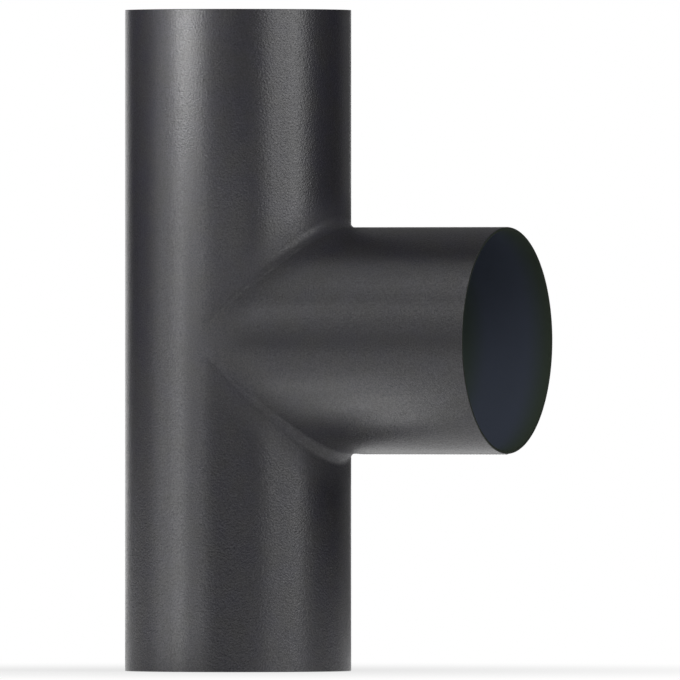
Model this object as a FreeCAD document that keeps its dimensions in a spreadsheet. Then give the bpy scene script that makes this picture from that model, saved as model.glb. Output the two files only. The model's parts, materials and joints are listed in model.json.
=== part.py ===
"""Equal stove pipe tee: a straight run with one branch at a right angle, in 2 mm steel sheet.

Each pipe is a sheet rolled into a tube and welded along its length. The two are cut to a
mitre where they cross, and one saddle weld joins them. Both pipes have the same bore, so
their surfaces cross in two flat ellipses, one above and one below the branch's axis.

The part stands on the run's lower end. Its origin is the centre of that end, with +Z up
the run's axis and +X along the branch. Lengths are millimetres and angles are degrees.
"""
import FreeCAD
import Part
import Sketcher
import math
import os

V = FreeCAD.Vector

SIZES = {
    "bore_diameter": 150,        # inside of the run and of the branch
    "sheet_thickness": 2,        # wall of both pipes
    "run_length": 450,           # from the lower end to the upper end
    "branch_height": 225,        # from the lower end to the branch's axis
    "branch_reach": 200,         # from the run's axis to the branch's mouth
    "edge_break": 0.4,           # bevel that takes the burr off each pipe end
    "seam_gap": 1.6,             # between the two edges of a rolled sheet
    "seam_crown_width": 5,       # the part of a seam weld that stands on the sheet
    "seam_crown_height": 0.4,    # how far the crown stands above the sheet
    "seam_setback": 3,           # from the saddle weld to the branch seam's crown
    "root_gap": 1.6,             # between the cut edges of the run and the branch
    "root_recess": 0.6,          # from the bore to the saddle weld's root, so that it stays clear
    "weld_radius": 11,           # hollow face of the saddle weld
    "toe_angle": 10,             # between that face and the pipe at the weld's edge
}

# Formulas in the sheet's own names, for the sketches and the features
INSIDE = "(sizes.bore_diameter / 2)"
OUTSIDE = "(sizes.bore_diameter / 2 + sizes.sheet_thickness)"
HALF_GAP = "(sizes.seam_gap / 2)"
HALF_CROWN = "(sizes.seam_crown_width / 2)"
CUT_BACK = "(sizes.root_gap / sqrt(2))"
WELD_LEG = "(sizes.weld_radius * (cos(sizes.toe_angle * 1deg) - sin(sizes.toe_angle * 1deg)))"
BEYOND = "sizes.bore_diameter"   # from a pipe's axis to a line well clear of its wall

FILLET_SECTIONS = 15             # drawn along each crotch
FILLET_RUN_ON = 4                # degrees past the turn where a fillet has faded out

doc = FreeCAD.newDocument("stove_pipe_tee")
sizes = doc.addObject("Spreadsheet::Sheet", "sizes")
for row, (name, size) in enumerate(SIZES.items(), start=1):
    sizes.set(f"A{row}", name)
    sizes.set(f"B{row}", str(size))
    sizes.setAlias(f"B{row}", name)
doc.recompute()


def value(formula):
    """The number that a formula gives with the sheet's present sizes."""
    return float(sizes.evalExpression(formula))


def new_body(label, turn, height="0"):
    """A body whose own Z axis is a pipe's axis, with that pipe's seam on its -Y side."""
    body = doc.addObject("PartDesign::Body", label)
    body.Label = label
    body.Placement = FreeCAD.Placement(V(0, 0, 0), turn)
    body.setExpression("Placement.Base.z", height)
    return body


def new_sketch(body, role, name, start="0"):
    """A sketch on one of the body's own planes, moved along the plane's normal to its start."""
    sketch = body.newObject("Sketcher::SketchObject", f"{body.Label}_{name}")
    plane = next(item for item in body.Origin.OriginFeatures if item.Role == role)
    sketch.AttachmentSupport = [(plane, "")]
    sketch.MapMode = "FlatFace"
    sketch.setExpression("AttachmentOffset.Base.z", start)
    return sketch


def limit(sketch, kind, where, formula):
    """A constraint whose value follows the sheet."""
    index = sketch.addConstraint(Sketcher.Constraint(kind, *where, value(formula)))
    sketch.setExpression(f"Constraints[{index}]", formula)


def meet(sketch, first, second):
    """Joins two ends, each given as the edge's number and 1 for its start or 2 for its end."""
    sketch.addConstraint(Sketcher.Constraint("Coincident", *first, *second))


def arc(sketch, radius, half_width, long_way):
    """An arc about the pipe's axis between two points on the seam's side, half_width off it.

    The long way leaves the seam open, and the short way closes it.
    """
    near = math.asin(value(half_width) / value(radius))
    start, end = 1.5 * math.pi - near, 1.5 * math.pi + near
    if long_way:
        start, end = end, start + 2 * math.pi
    circle = Part.Circle(V(0, 0, 0), V(0, 0, 1), value(radius))
    edge = sketch.addGeometry(Part.ArcOfCircle(circle, start, end))
    meet(sketch, (edge, 3), (-1, 1))
    limit(sketch, "Radius", (edge,), radius)
    return edge


def wall_section(sketch, long_way):
    """The sheet's section right round the pipe, or the short gap between its two edges."""
    inner = arc(sketch, INSIDE, HALF_GAP, long_way)
    outer = arc(sketch, OUTSIDE, HALF_GAP, long_way)
    for end in (1, 2):
        first = sketch.getPoint(inner, end)
        second = sketch.getPoint(outer, end)
        side = sketch.addGeometry(Part.LineSegment(first, second))
        meet(sketch, (side, 1), (inner, end))
        meet(sketch, (side, 2), (outer, end))
        sketch.addConstraint(Sketcher.Constraint("Vertical", side))
        across = (side, 1, -1, 1) if first.x < 0 else (-1, 1, side, 1)
        limit(sketch, "DistanceX", across, HALF_GAP)


def crown_section(sketch):
    """The low cap of a seam weld, from the pipe's surface up to a flatter arc."""
    drop = f"({OUTSIDE} + sizes.seam_crown_height - sqrt({OUTSIDE}^2 - {HALF_CROWN}^2))"
    cap_radius = f"(({HALF_CROWN}^2 + {drop}^2) / (2 * {drop}))"
    under = arc(sketch, OUTSIDE, HALF_CROWN, long_way=False)
    limit(sketch, "DistanceX", (under, 1, -1, 1), HALF_CROWN)
    limit(sketch, "DistanceX", (-1, 1, under, 2), HALF_CROWN)
    top = V(0, -value(OUTSIDE) - value("sizes.seam_crown_height"), 0)
    ends = [sketch.getPoint(under, end) for end in (1, 2)]
    cap = sketch.addGeometry(Part.Arc(ends[0], top, ends[1]))
    meet(sketch, (cap, 1), (under, 1))
    meet(sketch, (cap, 2), (under, 2))
    limit(sketch, "Radius", (cap,), cap_radius)


def outline(sketch, corners):
    """A closed polygon whose corners are pairs of formulas."""
    points = [V(value(x), value(y), 0) for x, y in corners]
    first = sketch.GeometryCount
    for here, there in zip(points, points[1:] + points[:1]):
        sketch.addGeometry(Part.LineSegment(here, there))
    for number, (x, y) in enumerate(corners):
        meet(sketch, (first + number, 1), (first + (number - 1) % len(corners), 2))
        limit(sketch, "DistanceX", (-1, 1, first + number, 1), x)
        limit(sketch, "DistanceY", (-1, 1, first + number, 1), y)


def pad(body, sketch, length):
    """The sketch drawn out along the pipe's axis."""
    feature = body.newObject("PartDesign::Pad", f"{sketch.Name}_pad")
    feature.Profile = sketch
    feature.setExpression("Length", length)
    doc.recompute()
    return feature


def cut_through(body, corners, name):
    """Takes away a prism that runs right through the body, on both sides of its middle plane."""
    before = body.Shape.Volume
    sketch = new_sketch(body, "YZ_Plane", name)
    outline(sketch, corners)
    feature = body.newObject("PartDesign::Pocket", f"{sketch.Name}_pocket")
    feature.Profile = sketch
    feature.Type = "ThroughAll"
    feature.Midplane = True
    doc.recompute()
    if body.Shape.Volume >= before:
        raise ValueError(f"{sketch.Name} cuts nothing")


def is_rim(edge, heights):
    """Whether an edge goes round the pipe at one of these heights."""
    height = edge.CenterOfMass.z
    return edge.Curve.TypeId == "Part::GeomCircle" and any(abs(height - end) < 1e-6 for end in heights)


def rolled_pipe(body, length, ends):
    """A sheet rolled into a tube, with a bevel on both rims of each named end."""
    sketch = new_sketch(body, "XY_Plane", "sheet")
    wall_section(sketch, long_way=True)
    tube = pad(body, sketch, length)
    heights = [value(end) for end in ends]
    edges = enumerate(tube.Shape.Edges, start=1)
    bevel = body.newObject("PartDesign::Chamfer", f"{body.Label}_rims")
    bevel.Base = (tube, [f"Edge{number}" for number, edge in edges if is_rim(edge, heights)])
    bevel.setExpression("Size", "sizes.edge_break")
    doc.recompute()


def seam_weld(body, start, length, crown_start, crown_length):
    """The weld that fills the gap in a rolled sheet and stands a little proud outside."""
    fill = new_sketch(body, "XY_Plane", "fill", start)
    wall_section(fill, long_way=False)
    pad(body, fill, length)
    crown = new_sketch(body, "XY_Plane", "crown", crown_start)
    crown_section(crown)
    pad(body, crown, crown_length)


def branch_mitre(body):
    """Cuts a branch piece back to the mitre, half the root gap short of it."""
    far = f"({BEYOND} + {CUT_BACK})"
    corners = [("0", CUT_BACK), (BEYOND, far), (BEYOND, f"-{BEYOND}"),
               (f"-{BEYOND}", f"-{BEYOND}"), (f"-{BEYOND}", far)]
    cut_through(body, corners, "mitre")


def crossing(radius):
    """Two round bars of one radius that cross as the pipes do, about the middle of the joint."""
    reach = 2 * radius
    run = Part.makeCylinder(radius, 2 * reach, V(0, 0, -reach), V(0, 0, 1))
    branch = Part.makeCylinder(radius, reach, V(0, 0, 0), V(1, 0, 0))
    return run.fuse(branch)


def root_band():
    """The space between the two mitre cuts: a chevron, drawn across and run along Y."""
    half = value(CUT_BACK)
    far = 2 * value(OUTSIDE)
    corners = [(-half, 0), (far - half, far), (far + half, far),
               (half, 0), (far + half, -far), (far - half, -far)]
    points = [V(x, -far, z) for x, z in corners]
    face = Part.Face(Part.makePolygon(points + points[:1]))
    return face.extrude(V(0, 2 * far, 0))


def fillet_section(turn, side):
    """The weld's section at one turn round the pipes, above (side 1) or below (side -1).

    A ball of weld_radius lies in the corner, sunk so that it meets each pipe at the toe
    angle. The section's hollow face is that ball's, and its other corner is inside the pipes.
    """
    radius = value("sizes.weld_radius")
    off = value(OUTSIDE) + radius * math.cos(math.radians(value("sizes.toe_angle")))
    from_run = V(math.cos(turn), math.sin(turn), 0)
    from_branch = V(0, math.sin(turn), side * math.cos(turn))
    between = (from_run + from_branch).normalize()
    centre = V(off * math.cos(turn), off * math.sin(turn), side * off * math.cos(turn))
    on_run = centre - from_run * radius
    on_branch = centre - from_branch * radius
    hollow = Part.Arc(on_run, centre - between * radius, on_branch).toShape()
    inside = centre - between * (2 * radius + value("sizes.sheet_thickness"))
    sides = [Part.makeLine(on_branch, inside), Part.makeLine(inside, on_run)]
    return Part.Wire([hollow] + sides)


def crotch_fillet(side):
    """The hollow weld face in one crotch, which narrows to nothing towards the pipes' sides.

    The ball sinks below the crease itself once the corner opens past a certain angle, so
    the fillet ends there by itself, and the sections run a little past that turn.
    """
    opening = 2 * math.cos(math.radians(value("sizes.toe_angle"))) ** 2 - 1
    last = math.asin(math.sqrt(opening)) + math.radians(FILLET_RUN_ON)
    turns = [last * (2 * step / (FILLET_SECTIONS - 1) - 1) for step in range(FILLET_SECTIONS)]
    return Part.makeLoft([fillet_section(turn, side) for turn in turns], True, False)


def saddle_weld():
    """The weld round the mitre: it fills the root gap and rounds both crotches.

    It is run from outside and stops a little short of the bore, where a pipe may be pushed
    in. It is a plain feature, because its section turns and narrows all the way round,
    which no sketch and no fixed profile can follow.
    """
    pipes = crossing(value(OUTSIDE))
    wall = pipes.cut(crossing(value(INSIDE) + value("sizes.root_recess")))
    root = wall.common(root_band())
    fillets = [crotch_fillet(side).cut(pipes) for side in (1, -1)]
    weld = doc.addObject("Part::Feature", "saddle_weld")
    weld.Label = "saddle_weld"
    weld.Shape = root.fuse(fillets).removeSplitter()
    weld.Placement = FreeCAD.Placement(V(0, 0, value("sizes.branch_height")), FreeCAD.Rotation())
    return weld


def run_parts():
    """The run's pipe and seam. The seam is opposite the branch, and the joint faces it."""
    turn = FreeCAD.Rotation(V(0, 0, 1), -90)
    pipe = new_body("run_pipe", turn)
    rolled_pipe(pipe, "sizes.run_length", ends=["0", "sizes.run_length"])
    up = f"(sizes.branch_height + {BEYOND} + {CUT_BACK})"
    down = f"(sizes.branch_height - {BEYOND} - {CUT_BACK})"
    cut_through(pipe, [(f"-{CUT_BACK}", "sizes.branch_height"), (BEYOND, up), (BEYOND, down)], "mitre")
    seam = new_body("run_seam_weld", turn)
    length = "sizes.run_length - 2 * sizes.edge_break"
    seam_weld(seam, "sizes.edge_break", length, "sizes.edge_break", length)
    return [pipe, seam]


def branch_parts():
    """The branch's pipe and seam. The seam is underneath, where the branch is shortest."""
    turn = FreeCAD.Rotation(V(1, 1, 1), 120)
    pipe = new_body("branch_pipe", turn, "sizes.branch_height")
    rolled_pipe(pipe, "sizes.branch_reach", ends=["sizes.branch_reach"])
    branch_mitre(pipe)
    seam = new_body("branch_seam_weld", turn, "sizes.branch_height")
    length = "sizes.branch_reach - sizes.edge_break"
    crown_start = f"({OUTSIDE} + {WELD_LEG} + sizes.seam_setback)"
    seam_weld(seam, "0", length, crown_start, f"{length} - {crown_start}")
    branch_mitre(seam)
    return [pipe, seam]


def check(nodes):
    """Stops before anything is written if a feature failed or a piece isn't one sound solid."""
    for item in doc.Objects:
        if "Invalid" in item.State or "Error" in item.State:
            raise ValueError(f"{item.Name} failed: {item.State}")
    for node in nodes:
        shape = node.Shape
        if shape.isNull() or not shape.isValid() or len(shape.Solids) != 1:
            raise ValueError(f"{node.Label} is not one valid solid")


nodes = run_parts() + branch_parts() + [saddle_weld()]
doc.recompute()
check(nodes)
os.makedirs("parts", exist_ok=True)
for node in nodes:
    node.Shape.exportStep(f"parts/{node.Label}.step")
    box = node.Shape.BoundBox
    print(f"{node.Label}: {node.Shape.Volume:.0f} mm3, {len(node.Shape.Faces)} faces, "
          f"x {box.XMin:.2f} to {box.XMax:.2f}, z {box.ZMin:.2f} to {box.ZMax:.2f}")
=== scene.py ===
# %% [markdown]
# # A painted stove pipe tee
# A tee joins three lengths of flue pipe: two in line on its run, and one on its branch. The real one
# is steel sheet rolled into two tubes. They are cut to a mitre, welded, ground smooth and sprayed
# with grey stove paint, which leaves the inside as bare rolled steel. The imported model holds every
# piece at its real size, so the first cell loads it as a frame that nothing here moves.

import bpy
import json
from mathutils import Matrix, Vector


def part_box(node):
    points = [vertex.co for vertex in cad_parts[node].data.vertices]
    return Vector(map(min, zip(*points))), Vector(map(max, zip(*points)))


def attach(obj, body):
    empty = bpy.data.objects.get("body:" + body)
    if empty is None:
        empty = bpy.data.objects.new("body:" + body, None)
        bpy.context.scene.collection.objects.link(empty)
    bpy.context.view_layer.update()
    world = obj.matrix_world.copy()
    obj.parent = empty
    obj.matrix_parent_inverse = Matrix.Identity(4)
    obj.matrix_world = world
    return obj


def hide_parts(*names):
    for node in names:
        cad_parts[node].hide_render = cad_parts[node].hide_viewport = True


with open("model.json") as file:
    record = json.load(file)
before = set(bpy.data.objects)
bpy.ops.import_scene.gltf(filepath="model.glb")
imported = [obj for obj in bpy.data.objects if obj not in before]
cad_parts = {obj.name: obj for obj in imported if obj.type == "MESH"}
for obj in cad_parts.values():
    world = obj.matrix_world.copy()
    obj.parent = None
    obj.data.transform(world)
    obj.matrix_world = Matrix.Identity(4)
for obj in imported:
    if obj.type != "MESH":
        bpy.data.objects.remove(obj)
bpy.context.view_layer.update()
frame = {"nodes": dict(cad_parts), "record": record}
print("the frame holds", ", ".join(sorted(frame["nodes"])))

# %% [markdown]
# The sizes could be typed in again, but then they could disagree with the model. Here they are read
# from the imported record's mounts and from the boxes of its nodes, in metres. The run stands on the
# origin along Z, and the branch points along X. Only what a box can't show is written as a number.

# %% Read the sizes
import json
import math
import bpy
import numpy as np
from mathutils import Vector

MM = 0.001
mounts = {mount["name"]: mount for mount in frame["record"]["mounts"]}
BORE = mounts["branch_bore"]["dims"]["r_mm"] * MM
MOUTH, _, AXIS = mounts["branch_bore"]["pos_m"]
TOP = mounts["run_upper_bore"]["pos_m"][2]
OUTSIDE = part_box("branch_pipe")[1].y
CUT_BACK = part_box("branch_pipe")[0].x
WELD_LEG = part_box("saddle_weld")[1].x - OUTSIDE
CROWN_HEIGHT = -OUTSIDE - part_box("run_seam_weld")[0].x
HALF_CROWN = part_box("run_seam_weld")[1].y
ROUNDING = 0.4 * MM        # takes the burr off each pipe end
HALF_SEAM = 0.8 * MM       # half the gap between the edges of a rolled sheet
ROOT_RECESS = 0.6 * MM     # the saddle weld's root stays this far back from the bore
print(f"bore {BORE / MM:.1f}, outside {OUTSIDE / MM:.1f}, weld leg {WELD_LEG / MM:.2f} mm in radius")

# %% [markdown]
# Nothing here is soft, so each piece can be worked out as grids of points, with a true normal at
# each one. That gives a tube its exact shading with few faces, where averaged normals would leave
# streaks beside a mitre. The class below collects the grids of one piece. Grids that share points
# along an edge are joined there, so the piece comes out closed. A face turns to agree with its
# normals, a normal that still points behind its face is turned round, and a face that has shrunk to
# a line is left out. An edge that turns by more than a set angle is marked sharp, so that each side
# of it keeps its own normals.

# %% A shell made of grids
SHARP = math.radians(40)
DECIMALS = 7               # points that agree to this many decimals of a metre are one


class Shell:
    """The faces of one closed piece, gathered grid by grid."""

    def __init__(self):
        self.points = {}
        self.faces = []
        self.normals = []
        self.finishes = []

    def number(self, point):
        """The point's number in the mesh, the same for each grid that reaches it."""
        key = tuple(round(float(value), DECIMALS) for value in point)
        return self.points.setdefault(key, len(self.points))

    def grid(self, points, normals, finish=0):
        """Adds quads over rows and columns of points. One normal may serve them all."""
        points = np.asarray(points, float)
        normals = np.broadcast_to(normals, points.shape)
        numbers = [[self.number(point) for point in row] for row in points]
        rows, columns = points.shape[:2]
        for row in range(rows - 1):
            for column in range(columns - 1):
                below = row + 1
                beside = column + 1
                corners = [(row, column), (row, beside), (below, beside), (below, column)]
                self.face(corners, numbers, points, normals, finish)

    def face(self, corners, numbers, points, normals, finish):
        """Adds one face of a grid, wound to agree with its normals."""
        last = [corners[index - 1] for index in range(len(corners))]
        corners = [here for here, before in zip(corners, last)
                   if numbers[here[0]][here[1]] != numbers[before[0]][before[1]]]
        if len(corners) < 3:
            return
        first, second, third = (points[corner] for corner in corners[:3])
        facing = np.cross(second - first, third - first)
        if len(corners) == 4:
            facing = facing + np.cross(third - first, points[corners[3]] - first)
        if facing @ sum(normals[corner] for corner in corners) < 0:
            corners = corners[::-1]
            facing = -facing
        self.faces.append([numbers[row][column] for row, column in corners])
        for corner in corners:
            behind = normals[corner] @ facing < 0
            self.normals.append(-normals[corner] if behind else normals[corner])
        self.finishes.append(finish)

    def piece(self, name, materials):
        """Makes the Blender object, smooth shaded by the normals that the grids gave."""
        mesh = bpy.data.meshes.new(name)
        mesh.from_pydata(list(self.points), [], self.faces)
        mesh.polygons.foreach_set("material_index", self.finishes)
        mesh.polygons.foreach_set("use_smooth", [True] * len(self.faces))
        mesh.set_sharp_from_angle(angle=SHARP)
        mesh.normals_split_custom_set([tuple(normal) for normal in self.normals])
        for material in materials:
            mesh.materials.append(material)
        made = bpy.data.objects.new(name, mesh)
        bpy.context.scene.collection.objects.link(made)
        print(f"{name}: {len(self.faces)} faces, {len(self.points)} points")
        return made


print(f"edges stay smooth up to {math.degrees(SHARP):.0f} degrees")

# %% [markdown]
# A pipe is easiest to describe in its own terms: how far from the axis, at which angle round it, and
# how far along. This small class turns those three into a place, or into a direction for a normal.
# Angle 0 is the side that faces the joint on the run, and the top on the branch. Both seams are then
# at 180 degrees, opposite.

# %% Two pipes and their own coordinates
class Pipe:
    """A pipe's axis, with directions for angle 0 and for a quarter turn on."""

    def __init__(self, origin, front, side, along):
        self.origin = np.array(origin, float)
        self.front = np.array(front, float)
        self.side = np.array(side, float)
        self.along = np.array(along, float)

    def direction(self, radius, angle, along):
        """The vector with these parts, for numbers or for arrays that broadcast together."""
        radius, angle, along = np.broadcast_arrays(radius, angle, along)
        parts = [radius * np.cos(angle), radius * np.sin(angle), along]
        axes = [self.front, self.side, self.along]
        return sum(part[..., None] * axis for part, axis in zip(parts, axes))

    def place(self, radius, angle, along):
        """The point with these coordinates."""
        return self.origin + self.direction(radius, angle, along)


RUN = Pipe((0, 0, 0), front=(1, 0, 0), side=(0, 1, 0), along=(0, 0, 1))
BRANCH = Pipe((0, 0, AXIS), front=(0, 0, 1), side=(0, 1, 0), along=(1, 0, 0))
print("the branch's mouth is at", BRANCH.place(0, 0, MOUTH))

# %% [markdown]
# Each rolled sheet ends at its seam, so its columns run from one seam edge to the other. Two columns
# are placed on the sharp corners of the mitre, one at each side of the pipe, where the edge of the
# cut turns back. The outer and the inner face have their own angles, because the seam and the
# corners lie at a fixed distance from the middle and not at a fixed angle.

# %% Columns round a sheet
FRONT_COLUMNS = 128
BACK_COLUMNS = 64


def columns(radius, corner):
    """Angles from one seam edge to the other, with a column at each corner of the mitre."""
    edge = math.pi - math.asin(HALF_SEAM / radius)
    front = np.linspace(-corner, corner, FRONT_COLUMNS + 1)
    back = np.linspace(corner, edge, BACK_COLUMNS + 1)[1:]
    return np.concatenate([-back[::-1], front, back])


print(f"{len(columns(OUTSIDE, math.pi / 2))} columns round each sheet")

# %% [markdown]
# The run's sheet has a notch with a right-angled point, and the branch's sheet has the end that
# fills it. So there are three stretches of sheet, each from its mitred edge to its rim: below the
# notch, above it, and along the branch. A rim isn't sharp, because the burr is filed off: it is a
# quarter round on the outer edge, the flat of the sheet, and a quarter round on the inner edge.
# A boolean cut would give the same form, but with long thin faces that shade badly. The spray
# covers the outside and its rounded edge, and leaves the flat and the bore bare.

# %% A stretch of sheet
ROWS = 20
ROUND_STEPS = 5
PAINTED, BARE = 0, 1
DIAGONAL = math.sqrt(0.5)  # each part of a direction halfway between two axes
HAIR = 1e-9                # lets the notch's own corner count as notched


def stretch(shell, pipe, corner, mitre, rim, way, cut_facing):
    """One stretch of a sheet. It goes from its mitred edge along the axis (1) or back (-1) to its rim."""
    turns = np.linspace(0, math.pi / 2, ROUND_STEPS)[1:, None]
    faces = []
    for radius, side, finish in [(OUTSIDE, 1, PAINTED), (BORE, -1, BARE)]:
        angles = columns(radius, corner(radius))
        edge = mitre(radius, angles)
        last = rim - way * ROUNDING
        level = edge + np.linspace(0, 1, ROWS + 1)[:, None] * (last - edge)
        rounded = last + way * ROUNDING * np.sin(turns) + 0 * angles
        along = np.concatenate([level, rounded])
        inset = np.concatenate([0 * level, ROUNDING * (1 - np.cos(turns)) + 0 * angles])
        lean = np.concatenate([0 * level, turns + 0 * angles])
        points = pipe.place(radius - side * inset, angles, along)
        shell.grid(points, pipe.direction(side * np.cos(lean), angles, way * np.sin(lean)), finish)
        faces.append((points, angles))
    (outer, outer_angles), (inner, _) = faces
    shell.grid([outer[-1], inner[-1]], way * pipe.along, BARE)
    for column, turn in [(0, -1), (-1, 1)]:
        sideways = pipe.direction(1, outer_angles[column] + turn * math.pi / 2, 0)
        shell.grid([outer[:, column], inner[:, column]], sideways, BARE)
    facing = cut_facing(outer_angles)
    cut = np.any(facing, axis=-1)
    shell.grid([outer[0][cut], inner[0][cut]], facing[cut], BARE)


def run_corner(radius):
    """The angle where the run's notch comes to its point, just past a quarter turn."""
    return math.acos(-CUT_BACK / radius)


def run_sheet():
    """The run's rolled and notched sheet. Behind the notch its two stretches share an edge."""
    shell = Shell()
    for rim, way in [(0, -1), (TOP, 1)]:
        def mitre(radius, angles):
            return AXIS + way * np.maximum(radius * np.cos(angles) + CUT_BACK, 0)

        def cut_facing(angles):
            notched = OUTSIDE * np.cos(angles) + CUT_BACK > -HAIR
            return notched[:, None] * np.array([1, 0, -way]) * DIAGONAL

        stretch(shell, RUN, run_corner, mitre, rim, way, cut_facing)
    return shell


def branch_sheet():
    """The branch's rolled sheet, from its mitred end to its mouth."""
    shell = Shell()

    def mitre(radius, angles):
        return radius * np.abs(np.cos(angles)) + CUT_BACK

    def cut_facing(angles):
        up = np.where(np.cos(angles) > 0, 1, -1)
        return np.stack([-np.ones_like(angles), np.zeros_like(angles), up], -1) * DIAGONAL

    stretch(shell, BRANCH, lambda radius: math.pi / 2, mitre, MOUTH, 1, cut_facing)
    return shell


print(f"the notch's corner is {math.degrees(run_corner(OUTSIDE)):.2f} degrees round the run")

# %% [markdown]
# The saddle weld follows the line where the two round pipes cross. On the real tee the bead is ground
# to a hollow and sprayed over, so one surface flows into the other. That is the path of a ball rolled
# along the corner: it touches the run at one toe and the branch at the other, and the weld's face is
# the ball's own arc between them. Towards the sides of the pipes the corner opens flat, the toes meet
# and the arc shrinks to nothing by itself. The rest of the section closes it: under the toes, down
# the two mitre cuts, and across the root. In the crotches the toes reach past the cut edges and rest
# on the sheets. At the sides they end short of the edges, and the strip between shows.

# %% The saddle weld
WELD_STATIONS = 96
WELD_STEPS = 16
CORNER_POWER = 40          # keeps the shift to the notch's corner to the last few stations
FLAT = 1e-6                # an opening under this angle is no corner any more


def saddle_section(turn, side):
    """Points and normals of the weld's section at one turn round the pipes, above (1) or below (-1)."""
    middle = np.array([0, 0, AXIS])
    off = OUTSIDE + WELD_LEG
    on_run = np.array([math.cos(turn), math.sin(turn), 0])
    on_branch = np.array([0, math.sin(turn), side * math.cos(turn)])
    ball = middle + off * np.array([math.cos(turn), math.sin(turn), side * math.cos(turn)])
    opening = math.acos(min(1, on_run @ on_branch))
    arc = []
    for share in np.linspace(0, 1, WELD_STEPS + 1):
        if opening < FLAT:
            towards = on_run
        else:
            first = math.sin((1 - share) * opening) / math.sin(opening)
            second = math.sin(share * opening) / math.sin(opening)
            towards = first * on_run + second * on_branch
        arc.append((ball - WELD_LEG * towards, towards))
    cut = []
    for radius in (OUTSIDE, BORE + ROOT_RECESS):
        shift = (run_corner(radius) - math.pi / 2) * abs(turn / (math.pi / 2)) ** CORNER_POWER
        run_turn = turn + math.copysign(shift, turn)
        level = radius * math.cos(run_turn)
        run_edge = middle + [level, radius * math.sin(run_turn), side * (level + CUT_BACK)]
        level = radius * math.cos(turn)
        branch_edge = middle + [level + CUT_BACK, radius * math.sin(turn), side * level]
        cut.append((run_edge, branch_edge))
    return arc, cut, on_run, on_branch


def saddle():
    """The whole weld: once round the joint, over the top from one side and back underneath."""
    shell = Shell()
    turns = np.linspace(-math.pi / 2, math.pi / 2, WELD_STATIONS + 1)
    # the strip between a toe and its cut edge faces into the sheet (-1) or shows (1)
    covers = np.where(WELD_LEG * np.cos(turns) > CUT_BACK, -1, 1)[:, None]
    for side in (1, -1):
        stations = [saddle_section(turn, side) for turn in turns]
        on_run = np.array([station[2] for station in stations])
        on_branch = np.array([station[3] for station in stations])
        arcs = np.array([[point for point, _ in arc] for arc, _, _, _ in stations])
        facings = np.array([[facing for _, facing in arc] for arc, _, _, _ in stations])
        shell.grid(arcs, facings, PAINTED)
        cuts = np.array([cut for _, cut, _, _ in stations])
        for edge, toe, away in [(0, 0, on_run), (1, -1, on_branch)]:
            under = np.stack([cuts[:, 0, edge], arcs[:, toe]], 1)
            shell.grid(under, np.stack([away * covers] * 2, 1), PAINTED)
        plane = np.array([-1, 0, side]) * DIAGONAL
        shell.grid(cuts[:, :, 0], plane, BARE)
        shell.grid(cuts[:, :, 1], -plane, BARE)
        inward = -on_run - on_branch
        inward = inward / np.linalg.norm(inward, axis=1, keepdims=True)
        shell.grid(cuts[:, 1], np.stack([inward, inward], 1), BARE)
    return shell


print(f"the weld's hollow face has a radius of {WELD_LEG / MM:.2f} mm")

# %% [markdown]
# A rolled sheet's edges are welded from outside along the whole pipe. The weld fills the gap and
# stands a little proud, as a low crown with the ripples that the torch leaves at each step. Paint
# fills the ripples only partly, so they still show in raking light, and they are real geometry here
# because they change the crown's outline. Where the run of weld starts or stops on open sheet, its
# crown sinks into the surface.

# %% The seam welds
RIPPLE_PITCH = 2.4 * MM
RIPPLE_HEIGHT = 0.12 * MM
SEAM_SETBACK = 3 * MM      # from the saddle's toe to where the crown starts
RIPPLE_LAG = 0.8 * MM      # how far a ripple's middle runs ahead of its ends
STEPS_PER_RIPPLE = 6
CROWN_STEPS = 12
TAPER = 5 * MM


def crown(shell, pipe, start, end, sinks):
    """The proud, rippled part of a seam weld. Its first end sinks into the sheet if asked to."""
    steps = round((end - start) / RIPPLE_PITCH * STEPS_PER_RIPPLE)
    along = np.linspace(start, end, steps + 1)[:, None]
    across = np.linspace(-1, 1, CROWN_STEPS + 1)[None, :]
    half_angle = math.asin(HALF_CROWN / OUTSIDE)
    angles = math.pi + across * half_angle
    phase = 2 * math.pi * (along + RIPPLE_LAG * across ** 2) / RIPPLE_PITCH
    rise = np.sqrt(np.clip((along - start) / TAPER, 0, 1)) if sinks else 1
    height = (1 - across ** 2) * (CROWN_HEIGHT - RIPPLE_HEIGHT * (1 - np.cos(phase)) / 2) * rise
    over = pipe.place(OUTSIDE + height, angles, along)
    base = pipe.place(OUTSIDE, angles, along)
    slope_along, slope_across = np.gradient(height, along[:, 0], across[0] * half_angle * OUTSIDE)
    sideways = pipe.direction(slope_across, angles + math.pi / 2, 0)
    facing = pipe.direction(1, angles, -slope_along) - sideways
    shell.grid(over, facing / np.linalg.norm(facing, axis=-1, keepdims=True), PAINTED)
    shell.grid(base, -pipe.direction(1, angles, 0), PAINTED)
    for row, way in [(0, -1), (-1, 1)]:
        shell.grid([over[row], base[row]], way * pipe.along, PAINTED)


def fill(shell, pipe, start, end):
    """The part of a seam weld that fills the gap between the sheet's edges, right through."""
    levels = []
    for radius in (OUTSIDE, BORE):
        half_gap = math.asin(HALF_SEAM / radius)
        angles = [math.pi - half_gap, math.pi + half_gap]
        levels.append(pipe.place(radius, angles, [[start(radius)], [end]]))
    corners = np.array(levels)
    away = pipe.direction(1, math.pi, 0)
    sideways = pipe.direction(1, 1.5 * math.pi, 0)
    shell.grid(corners[0], away, PAINTED)
    shell.grid(corners[1], -away, BARE)
    shell.grid(corners[:, 0], -pipe.along, BARE)
    shell.grid(corners[:, 1], pipe.along, BARE)
    for column, way in [(0, -1), (1, 1)]:
        shell.grid(corners[:, :, column], way * sideways, BARE)


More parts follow.
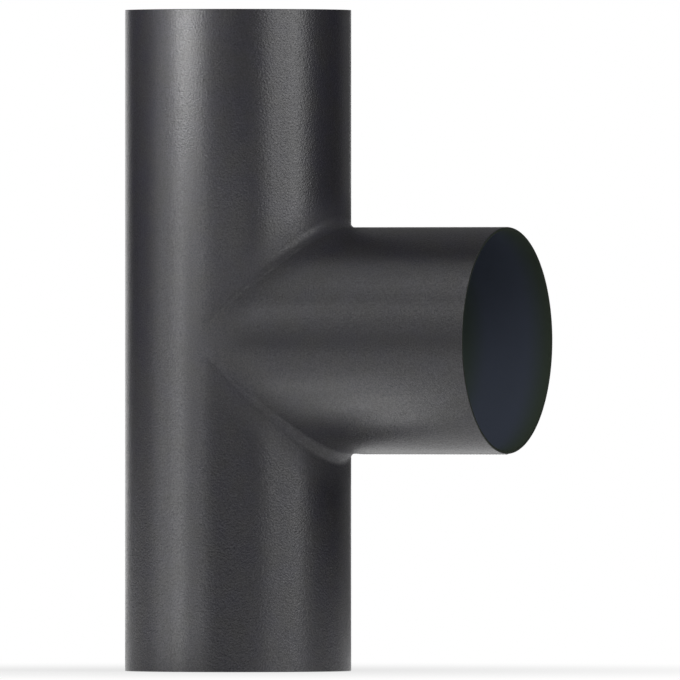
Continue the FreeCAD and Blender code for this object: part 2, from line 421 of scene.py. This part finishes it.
def run_seam():
    """The seam along the run, from end to end."""
    shell = Shell()
    crown(shell, RUN, ROUNDING, TOP - ROUNDING, sinks=False)
    fill(shell, RUN, lambda radius: ROUNDING, TOP - ROUNDING)
    return shell


def branch_seam():
    """The seam under the branch. Its fill starts at the mitre, and its crown past the saddle."""
    shell = Shell()
    crown(shell, BRANCH, OUTSIDE + WELD_LEG + SEAM_SETBACK, MOUTH - ROUNDING, sinks=True)
    fill(shell, BRANCH, lambda radius: radius + CUT_BACK, MOUTH - ROUNDING)
    return shell


print(f"{(TOP - 2 * ROUNDING) / RIPPLE_PITCH:.0f} ripples along the run's seam")

# %% [markdown]
# A shader graph is easier to read as sums than as a picture of wires. The class below wraps one
# output socket. Each operator on it adds the Math node that it stands for, whichever side the plain
# number is on, so that 1 - mask works. Its method node() adds a node of any other type: the settings
# go in first, because they can change which sockets a node has, and then the sockets get their values
# or links.

# %% Shader maths in Python
MIXED_COLOUR = 2           # a Mix node's colour output, after those for numbers and vectors


class Wire:
    """An output socket of a shader node, which can be used in a sum."""

    def __init__(self, tree, socket=None):
        self.tree = tree
        self.socket = socket

    def node(self, kind, sockets, output=0, **settings):
        """Adds a node: its type, its sockets by name or number, the output to use and its settings."""
        made = self.tree.nodes.new("ShaderNode" + kind)
        for name, setting in settings.items():
            setattr(made, name, setting)
        for name, value in sockets.items():
            if isinstance(value, Wire):
                self.tree.links.new(value.socket, made.inputs[name])
            else:
                made.inputs[name].default_value = value
        return None if output is None else Wire(self.tree, made.outputs[output])

    def axes(self):
        """The three parts of a vector."""
        parts = self.node("SeparateXYZ", {"Vector": self}).socket.node.outputs
        return [Wire(self.tree, part) for part in parts]

    def maths(self, operation, *values):
        """One Math node on these values."""
        return self.node("Math", dict(enumerate(values)), operation=operation)

    def __add__(self, other):
        return self.maths("ADD", self, other)

    def __sub__(self, other):
        return self.maths("SUBTRACT", self, other)

    def __rsub__(self, other):
        return self.maths("SUBTRACT", other, self)

    def __mul__(self, other):
        return self.maths("MULTIPLY", self, other)

    __radd__ = __add__
    __rmul__ = __mul__

    def mix(self, first, second):
        """From the first colour to the second as this value goes from 0 to 1."""
        sockets = {"Factor": self, "A": first, "B": second}
        return self.node("Mix", sockets, output=MIXED_COLOUR, data_type="RGBA")


trial = bpy.data.node_groups.new("trial", "ShaderNodeTree")
mask = Wire(trial).node("Value", {})
print("1 - mask adds a Math node that is set to", (1 - mask).socket.node.operation)
bpy.data.node_groups.remove(trial)

# %% [markdown]
# All finishes start alike: a new material, its object coordinates in metres, and one Principled
# shader whose fixed values are set on its own sockets. What changes over the surface is a texture
# read at those coordinates. Object coordinates stay with the piece whatever the view, and need no
# unwrapping. Masks come from a Map Range node, which goes from 0 to 1 between two values. The smooth
# kind leaves no line where it starts and ends.

# %% Starting a finish
NOISE_LOW, NOISE_HIGH = 0.35, 0.65      # noise seldom leaves this part of its range


def finish(name):
    """A material with an empty tree and the wire of its object coordinates."""
    made = bpy.data.materials.new(name)
    made.use_nodes = True
    made.node_tree.nodes.clear()
    return made, Wire(made.node_tree).node("TexCoord", {}, output="Object")


def surface(coordinates, **sockets):
    """A Principled shader with these sockets, wired to the material's output."""
    names = {name.replace("_", " "): value for name, value in sockets.items()}
    shader = coordinates.node("BsdfPrincipled", names)
    shader.node("OutputMaterial", {"Surface": shader}, output=None)


def noise(coordinates, size, detail=2.0, roughness=0.5, stretch=(1, 1, 1)):
    """Noise from 0 to 1 whose lumps are about this size in metres, shorter where stretch is over 1."""
    scaled = coordinates.node("VectorMath", {0: coordinates, 1: stretch}, operation="MULTIPLY")
    sockets = {"Vector": scaled, "Scale": 1 / size, "Detail": detail, "Roughness": roughness}
    return scaled.node("TexNoise", sockets)


def ramp(value, start, end, kind="LINEAR"):
    """0 while the value is at the start, 1 from where it reaches the end."""
    reach = {"Value": value, "From Min": start, "From Max": end}
    return value.node("MapRange", reach, interpolation_type=kind)


def fade(value, start, end):
    """A ramp that starts and ends smoothly."""
    return ramp(value, start, end, "SMOOTHSTEP")


def contrast(wave):
    """Noise keeps near its middle. This spreads it over the whole way from 0 to 1."""
    return ramp(wave, NOISE_LOW, NOISE_HIGH)


print(f"contrast takes noise from {NOISE_LOW} to {NOISE_HIGH} and makes it go from 0 to 1")

# %% [markdown]
# Stove paint is a thin satin coat. Sprayed on steel it dries with an orange peel: soft bumps a
# millimetre or two across, wavy and drawn out a little round the pipe. Each bump tilts the gloss its
# own way, which breaks a highlight into fine grain and spreads it, so the paint's own roughness is
# lower than the width of its highlights suggests. The grain is far too fine for geometry, so it is
# bump, with its heights in real metres. A few nibs of dust are caught in the coat, and the rolled
# sheet underneath is uneven over several centimetres.

# %% Heights of the paint
GRAIN_SIZE = 1.4 * MM
GRAIN_HEIGHT = 0.22 * MM
GRAIN_ALONG = 1.15         # how much shorter the bumps are along the run than round it
ROLLING_SIZE = 70 * MM
ROLLING_HEIGHT = 0.4 * MM
NIB_SPACING = 45 * MM
NIB_SIZE = 0.9 * MM
NIB_HEIGHT = 0.12 * MM


def paint_height(place, grain_height):
    """The height of the coat: its grain, its nibs and the sheet's unevenness."""
    grain = noise(place, GRAIN_SIZE, detail=1.5, roughness=0.45, stretch=(1, 1, GRAIN_ALONG))
    rolling = noise(place, ROLLING_SIZE, detail=0)
    nearest = place.node("TexVoronoi", {"Vector": place, "Scale": 1 / NIB_SPACING}, output="Distance")
    nib = fade(nearest, NIB_SIZE / NIB_SPACING, 0.0)
    return grain * grain_height + rolling * ROLLING_HEIGHT + nib * NIB_HEIGHT


print(f"grain {GRAIN_SIZE / MM:.1f} mm wide and up to {GRAIN_HEIGHT / MM:.2f} mm high")

# %% [markdown]
# The paint is a nearly neutral dark grey. It drifts a little between cooler and warmer over a
# centimetre or two, and its pigment is speckled more finely. The gloss varies with the same drift,
# where the coat is thicker or drier. The powder that flats a satin paint lies unevenly in it, so
# fine flecks of the surface are glossier, and a highlight looks sandy. The welds are sprayed in the
# same pass. Their ground surface is smoother, so their grain is a little lower. Spray swirls in the
# corner between the two pipes and lands half dry there, so the gloss fades along the saddle, and the
# corner shows no hard line. The two mitre cuts lie where x is as large as the height above or below
# the branch's axis, so the distance from there needs only a sum.

# %% Stove paint
PAINT_COOL = (0.0290, 0.0280, 0.0370, 1)
PAINT_WARM = (0.0310, 0.0298, 0.0330, 1)
PAINT_ROUGHNESS = 0.33
PAINT_SPECULAR = 0.65
FLECK_SIZE = 1.0 * MM
FLECK_GLOSS = 0.6          # the coat's weight where a fleck is fully there
DRIFT_SIZE = 18 * MM
GLOSS_DRIFT = 0.06         # how far the roughness goes with the drift of the colour
WELD_GRAIN = 0.85          # the height of a weld's grain beside a sheet's
SPECKLE_SIZE = 1.1 * MM
SPECKLE = 0.9              # the darkest speckle is this much darker than the lightest
DRY_ROUGHNESS = 0.62
DRY_REACH = 32 * MM
DRY_START, DRY_FULL = 2 * MM, 30 * MM      # how far the corner lies from the run's axis


def near_saddle(place):
    """1 along the joint of the two pipes, 0 from a set reach on, and less towards its flat sides."""
    x, _, z = place.axes()
    off = x - x.maths("ABSOLUTE", z - AXIS)
    return fade(x.maths("ABSOLUTE", off), DRY_REACH, 0.0) * ramp(x, DRY_START, DRY_FULL)


def sprayed(name, grain_height):
    """Satin stove paint, with this height of grain."""
    made, place = finish(name)
    height = paint_height(place, grain_height)
    bump = height.node("Bump", {"Strength": 1.0, "Distance": 1.0, "Height": height})
    drift = noise(place, DRIFT_SIZE, detail=3)
    tint = contrast(drift).mix(PAINT_COOL, PAINT_WARM)
    speckle = noise(place, SPECKLE_SIZE, detail=1) * SPECKLE + (1 - SPECKLE / 2)
    both = {"Factor": 1.0, "A": tint, "B": speckle}
    shade = place.node("Mix", both, output=MIXED_COLOUR, data_type="RGBA", blend_type="MULTIPLY")
    gloss = drift * GLOSS_DRIFT + (PAINT_ROUGHNESS - GLOSS_DRIFT / 2)
    dryness = near_saddle(place) * (DRY_ROUGHNESS - PAINT_ROUGHNESS)
    flecks = contrast(noise(place, FLECK_SIZE, detail=1))
    surface(place, Base_Color=shade, Roughness=gloss + dryness, Coat_Weight=flecks * FLECK_GLOSS,
            Coat_Roughness=PAINT_ROUGHNESS, Specular_IOR_Level=PAINT_SPECULAR, Normal=bump)
    return made


stove_paint = sprayed("satin_stove_paint", GRAIN_HEIGHT)
weld_paint = sprayed("ground_weld_paint", GRAIN_HEIGHT * WELD_GRAIN)
print("paint:", len(stove_paint.node_tree.nodes), "nodes")

# %% [markdown]
# Inside, the pipe keeps the skin that hot rolling gave the steel: a hard matt scale. It is
# blue-grey and nearly even for a few centimetres in, and painted blacker deeper in as painted shade.
# The last two centimetres before each open end are darker too, partly from spray that drifts in over
# the rim and partly as painted shade, and the cut edge itself is darkest, as painted shade. Each mask
# is read from one distance, how far the point is from the nearest open end, which comes from the
# object coordinates.

# %% Rolled steel inside
SCALE_BLUE = (0.096, 0.113, 0.160, 1)
SCALE_GREY = (0.090, 0.107, 0.145, 1)
# The black scale deeper inside, and its reach below, are painted shade.
SCALE_DEEP_SHADE = (0.076, 0.100, 0.088, 1)
DEEP_SHADE_FROM, DEEP_SHADE_TO = 46 * MM, 64 * MM       # how deep inside the scale turns black
# The darkening near the open ends is partly overspray and partly painted shade.
OVERSPRAY_AND_SHADE = (0.070, 0.092, 0.066, 1)
OVERSPRAY_AND_SHADE_REACH = 20 * MM
# The darkest colour, on the cut edges, is painted shade.
CUT_EDGE_SHADE = (0.020, 0.026, 0.018, 1)
CUT_EDGE_SHADE_REACH = 0.7 * MM
SCALE_CLOUD = 30 * MM
SCALE_GRAIN = 0.8 * MM
SCALE_GRAIN_HEIGHT = 0.02 * MM
SCALE_ROUGHNESS = 0.6
SCALE_ROUGHNESS_RANGE = 0.1
SCALE_SPECULAR = 0.25


def end_distance(place):
    """How far the point is from the nearest open end."""
    x, _, z = place.axes()
    nearest = x.maths("MINIMUM", z, TOP - z)
    return x.maths("MINIMUM", nearest, MOUTH - x)


def rolled_steel():
    """Rolled steel on the inside and on the cut edges, with painted shade deep inside and at the open
    ends.
    """
    made, place = finish("rolled_steel")
    grain = noise(place, SCALE_GRAIN, detail=3)
    bump = grain.node("Bump", {"Strength": 1.0, "Distance": SCALE_GRAIN_HEIGHT, "Height": grain})
    from_end = end_distance(place)
    scale_and_shade = noise(place, SCALE_CLOUD, detail=3).mix(SCALE_GREY, SCALE_BLUE)
    # painted shade: the scale turns black deeper inside the pipe
    scale_and_shade = fade(from_end, DEEP_SHADE_FROM, DEEP_SHADE_TO).mix(scale_and_shade, SCALE_DEEP_SHADE)
    # partly overspray, partly painted shade, over the last two centimetres before each open end
    scale_and_shade = fade(from_end, OVERSPRAY_AND_SHADE_REACH, 0.0).mix(scale_and_shade, OVERSPRAY_AND_SHADE)
    # painted shade on the cut edge, which keeps its lit flat dark
    scale_and_shade = fade(from_end, CUT_EDGE_SHADE_REACH, 0.0).mix(scale_and_shade, CUT_EDGE_SHADE)
    rough = grain * SCALE_ROUGHNESS_RANGE + SCALE_ROUGHNESS
    surface(place, Base_Color=scale_and_shade, Roughness=rough, Specular_IOR_Level=SCALE_SPECULAR, Normal=bump)
    return made


bare_steel = rolled_steel()
print("steel:", len(bare_steel.node_tree.nodes), "nodes")

# %% [markdown]
# Each piece now becomes an object, rides on the tee's one body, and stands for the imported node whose
# form it keeps.

# %% Make the pieces
def fit(shell, name, node, paint):
    """The piece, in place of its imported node."""
    made = shell.piece(name, [paint, bare_steel])
    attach(made, "root")
    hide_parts(node)
    return made


fit(run_sheet(), "run_sheet", "run_pipe", stove_paint)
fit(branch_sheet(), "branch_sheet", "branch_pipe", stove_paint)
fit(saddle(), "saddle_bead", "saddle_weld", weld_paint)
fit(run_seam(), "run_seam_bead", "run_seam_weld", weld_paint)
fit(branch_seam(), "branch_seam_bead", "branch_seam_weld", weld_paint)

# %% [markdown]
# The photograph looks level at the tee from far away, a little round to the side, so the branch's
# mouth shows as a narrow ellipse. Directions on the set are easiest to give as the photographer would:
# to the right of the camera's view, and towards the camera. The long lens keeps both ends of the run
# straight.

# %% Camera
AZIMUTH = math.radians(23.9)
FRAME_PIXELS = 680
PIXELS_PER_METRE = 1468.5
RUN_AXIS_PIXEL = 238.15     # where the run's axis crosses the photograph
BRANCH_AXIS_PIXEL = 340.5   # how far down the branch's axis is
CAMERA_DISTANCE = 20.0
SENSOR_WIDTH = 36           # in millimetres, as the lens is

right = Vector((math.cos(AZIMUTH), math.sin(AZIMUTH), 0))
toward = Vector((math.sin(AZIMUTH), -math.cos(AZIMUTH), 0))
up = Vector((0, 0, 1))
half_frame = FRAME_PIXELS / 2
aim = (right * ((half_frame - RUN_AXIS_PIXEL) / PIXELS_PER_METRE)
       + up * (AXIS + (BRANCH_AXIS_PIXEL - half_frame) / PIXELS_PER_METRE))

camera_data = bpy.data.cameras.new("camera")
camera_data.sensor_width = SENSOR_WIDTH
camera_data.lens = SENSOR_WIDTH * CAMERA_DISTANCE * PIXELS_PER_METRE / FRAME_PIXELS
camera_data.clip_end = 2 * CAMERA_DISTANCE
camera = bpy.data.objects.new("camera", camera_data)
bpy.context.scene.collection.objects.link(camera)
camera.location = aim + toward * CAMERA_DISTANCE
camera.rotation_euler = toward.to_track_quat("Z", "Y").to_euler()
bpy.context.scene.camera = camera
print(f"lens {camera_data.lens:.0f} mm at {CAMERA_DISTANCE:.0f} m")

# %% [markdown]
# The set is plain: a white world and a pale floor. A satin dark tube shows its surroundings as
# bands, and the photograph has dark ones between its highlights, so a drape hangs round the set, as
# a photographer would put it up. Only reflections meet it. It is black in front and at the sides,
# and behind the tee it is grey. A low opening there shows the white world, and one of the next
# cell's lamps stands before it. They give the pipe its thin bright edge on the left. The floor is
# small, so at the right and behind the tee the cloth hangs lower than the floor, past its edge.

# %% World, drape and floor
DRAPE_RADIUS = 2.0
DRAPE_BOTTOM, DRAPE_TOP = -1.0, 3.0
OPENING_TOP = 0.55
BLACK_FROM, BLACK_TO = -150, 130     # degrees from the camera's direction, positive to its right
LOW_FROM = 15                        # from here on the cloth hangs lower than the floor
OPENING_FROM, OPENING_TO = 165, 210
DRAPE_GREY = 0.14
SET_STEP = 5                         # degrees between two corners of the cloth or the floor
FLOOR_RADIUS = 0.6
FLOOR_DROP = 0.2 * MM                # from the run's foot down to the floor
FLOOR_WHITENESS = 0.75               # how far the floor beside the tee is lifted to white
FLOOR_GREY = (0.85, 0.85, 0.85, 1)
BLACK = (0, 0, 0, 1)
WHITE = (1, 1, 1, 1)


def around(degrees, radius, height=0.0):
    """A point this far from the run's axis, by its direction as seen from the camera."""
    turn = math.radians(degrees)
    return toward * (radius * math.cos(turn)) + right * (radius * math.sin(turn)) + up * height


def seen(tree):
    """1 for a ray that shows a thing: straight, in a gloss or through glass. 0 for one that lights."""
    straight = tree.node("LightPath", {}, output="Is Camera Ray")
    glossy = tree.node("LightPath", {}, output="Is Glossy Ray")
    through = tree.node("LightPath", {}, output="Is Transmission Ray")
    return straight + glossy + through


world = bpy.data.worlds.new("white_world")
bpy.context.scene.world = world
world.use_nodes = True
world.node_tree.nodes.clear()
sky = seen(Wire(world.node_tree)).mix(BLACK, WHITE)
background = sky.node("Background", {"Color": sky, "Strength": 1.0})
background.node("OutputWorld", {"Surface": background}, output=None)


def stage_piece(name, points, faces, material):
    """Part of the set: it isn't part of the tee."""
    mesh = bpy.data.meshes.new(name)
    mesh.from_pydata(points, [], faces)
    mesh.materials.append(material)
    made = bpy.data.objects.new(name, mesh)
    bpy.context.scene.collection.objects.link(made)
    return made


def cloth(name, brightness):
    """A drape's material. It only shows in reflections, with this brightness."""
    made, place = finish(name)
    shown = place.node("Emission", {"Color": WHITE, "Strength": brightness})
    shown.node("OutputMaterial", {"Surface": shown}, output=None)
    return made


def drape(name, stretches, material):
    """Cloth in stretches, each between two directions and two heights. At the top it closes over."""
    points, faces = [], []
    for turn_from, turn_to, low, high in stretches:
        first = len(points)
        turns = np.linspace(turn_from, turn_to, 2 + (turn_to - turn_from) // SET_STEP)
        rings = [(low, DRAPE_RADIUS), (high, DRAPE_RADIUS)]
        if high == DRAPE_TOP:
            rings.append((high, 0.0))
        for turn in turns:
            points += [around(turn, radius, height) for height, radius in rings]
        for corner in range(first, len(points) - len(rings)):
            if (corner - first) % len(rings) < len(rings) - 1:
                beside = corner + len(rings)
                faces.append((corner, corner + 1, beside + 1, beside))
    made = stage_piece(name, points, faces, material)
    made.visible_camera = False
    made.visible_diffuse = False
    made.visible_shadow = False
    return made


def floor_finish():
    """A matt floor that whitens away from the tee, so that it keeps the shadow and loses its edge."""
    made, place = finish("pale_floor")
    distance = place.node("VectorMath", {0: place}, output="Value", operation="LENGTH")
    whiteness = fade(distance, 0.0, FLOOR_RADIUS) * (1 - FLOOR_WHITENESS) + FLOOR_WHITENESS
    matt = place.node("BsdfDiffuse", {"Color": FLOOR_GREY})
    white = place.node("Emission", {"Color": WHITE, "Strength": 1.0})
    both = place.node("MixShader", {0: whiteness * seen(place), 1: matt, 2: white})
    both.node("OutputMaterial", {"Surface": both}, output=None)
    return made


black_stretches = [(BLACK_FROM, LOW_FROM, 0.0, DRAPE_TOP),
                   (LOW_FROM, BLACK_TO, DRAPE_BOTTOM, DRAPE_TOP)]
grey_stretches = [(BLACK_TO, OPENING_FROM, DRAPE_BOTTOM, OPENING_TOP),
                  (OPENING_FROM, OPENING_TO, DRAPE_BOTTOM, 0.0),
                  (BLACK_TO, OPENING_TO, OPENING_TOP, DRAPE_TOP)]
drape("black_drape", black_stretches, cloth("black_cloth", 0.0))
drape("grey_drape", grey_stretches, cloth("grey_cloth", DRAPE_GREY))
edge = [around(turn, FLOOR_RADIUS, -FLOOR_DROP) for turn in range(0, 360, SET_STEP)]
stage_piece("floor", edge, [tuple(range(len(edge)))], floor_finish())
print(f"the drape leaves {OPENING_TO - OPENING_FROM} degrees open behind the tee")

# %% [markdown]
# Every band on the pipes is the reflection of one lamp. A vertical strip makes a band down the run,
# and a strip along the branch makes one there. The left strips stand close and have a grid over
# their face, which lets light out only straight ahead, onto the run's left side. So they leave the
# branch dark, though it curves the same way there. Broad panels further off light the right side,
# and a dim one stands behind, before the drape's opening. Three small gridded cards lie just over the
# floor and light the branch from below, with little of their light on the run. An area lamp's power
# is worked out here from the brightness of its face, because that is what the band shows, whatever
# the lamp's size. A grid puts the same power into a narrow beam, so a gridded face shows much
# brighter than its number.

# %% Lamps
GRID = math.radians(50)
OPEN = math.radians(180)
LEFT_STRIP = (0.055, 1.00)            # widths and lengths
RIGHT_PANEL = (0.34, 1.30)
BRANCH_STRIP = (0.10, 0.50)
LEFT_NEAR, PANEL_FAR = 0.22, 1.30     # from the run's axis
LEFT_AIM, AIM_RADIUS = -60, 0.07      # the part of the run that the left lamps are turned to
LEFT_HEIGHT, LEFT_UPPER_HEIGHT = 0.33, 0.60
PANEL_HEIGHT = 0.70
UNDER_TURN = math.radians(-120)       # low on the branch, on the side that faces the camera
CARD_WIDTH = 0.08
CARD_LIFT = 2 * MM


def lamp(name, place, size, target, brightness, spread=OPEN, upright=True):
    """A flat lamp of this width and length, turned to its target, with its length upright or along X."""
    data = bpy.data.lights.new(name, "AREA")
    data.shape = "RECTANGLE"
    data.size, data.size_y = size
    data.energy = brightness * math.pi * data.size * data.size_y
    data.spread = spread
    made = bpy.data.objects.new(name, data)
    bpy.context.scene.collection.objects.link(made)
    made.location = place
    away = made.location - target
    if upright:
        turn = away.to_track_quat("Z", "Y")
    else:
        away.x = 0
        turn = away.to_track_quat("Z", "X")
    made.rotation_euler = turn.to_euler()
    made.visible_camera = False
    return made


run_left = around(LEFT_AIM, AIM_RADIUS, LEFT_HEIGHT)
run_upper_left = around(LEFT_AIM, AIM_RADIUS, LEFT_UPPER_HEIGHT)
run_middle = up * 0.30
branch_middle = Vector((0.10, 0, AXIS))
branch_under = Vector(BRANCH.place(OUTSIDE, UNDER_TURN, 0.15))

left_strips = [("left_strip", -54, 0.40), ("left_front_strip", -36, 0.27), ("left_back_strip", -72, 0.12)]
for name, degrees, brightness in left_strips:
    lamp(name, around(degrees, LEFT_NEAR, LEFT_HEIGHT), LEFT_STRIP, run_left, brightness, GRID)
lamp("left_upper_strip", around(-51, 0.50, LEFT_UPPER_HEIGHT), (0.180, 0.45), run_upper_left, 0.66, GRID)
lamp("right_panel", around(37, PANEL_FAR, PANEL_HEIGHT), RIGHT_PANEL, run_middle, 2.6)
lamp("right_upper_panel", around(48, PANEL_FAR, 0.85), (0.40, 0.80), up * 0.45, 1.3)
lamp("right_back_panel", around(60, PANEL_FAR, PANEL_HEIGHT), RIGHT_PANEL, run_middle, 3.6)
branch_strips = [("branch_front_strip", (0.00, -0.345, 0.286), 0.7),
                 ("branch_upper_strip", (-0.10, -0.61, 0.575), 2.7),
                 ("branch_top_strip", (-0.10, -0.18, 0.90), 1.2)]
for name, place, brightness in branch_strips:
    lamp(name, Vector(place), BRANCH_STRIP, branch_middle, brightness, upright=False)
lamp("high_left_box", around(-45, 0.60, 1.05), (0.20, 0.40), run_middle, 2.6)
lamp("back_panel", around(187, PANEL_FAR, 0.26), (0.90, 0.50), run_middle, 0.5)
# each card's place to the right, its place towards the camera, its depth and its brightness
cards = [(-0.10, 0.20, 0.08, 0.24), (0.00, 0.15, 0.08, 0.20), (0.04, 0.10, 0.04, 0.24)]
for side, near, depth, brightness in cards:
    card = right * side + toward * near + up * CARD_LIFT
    lamp("bounce_card", card, (CARD_WIDTH, depth), branch_under, brightness, GRID)

# %% [markdown]
# Standard view transform shows a colour as it is written.

# %% Finish
bpy.context.scene.view_settings.view_transform = "Standard"
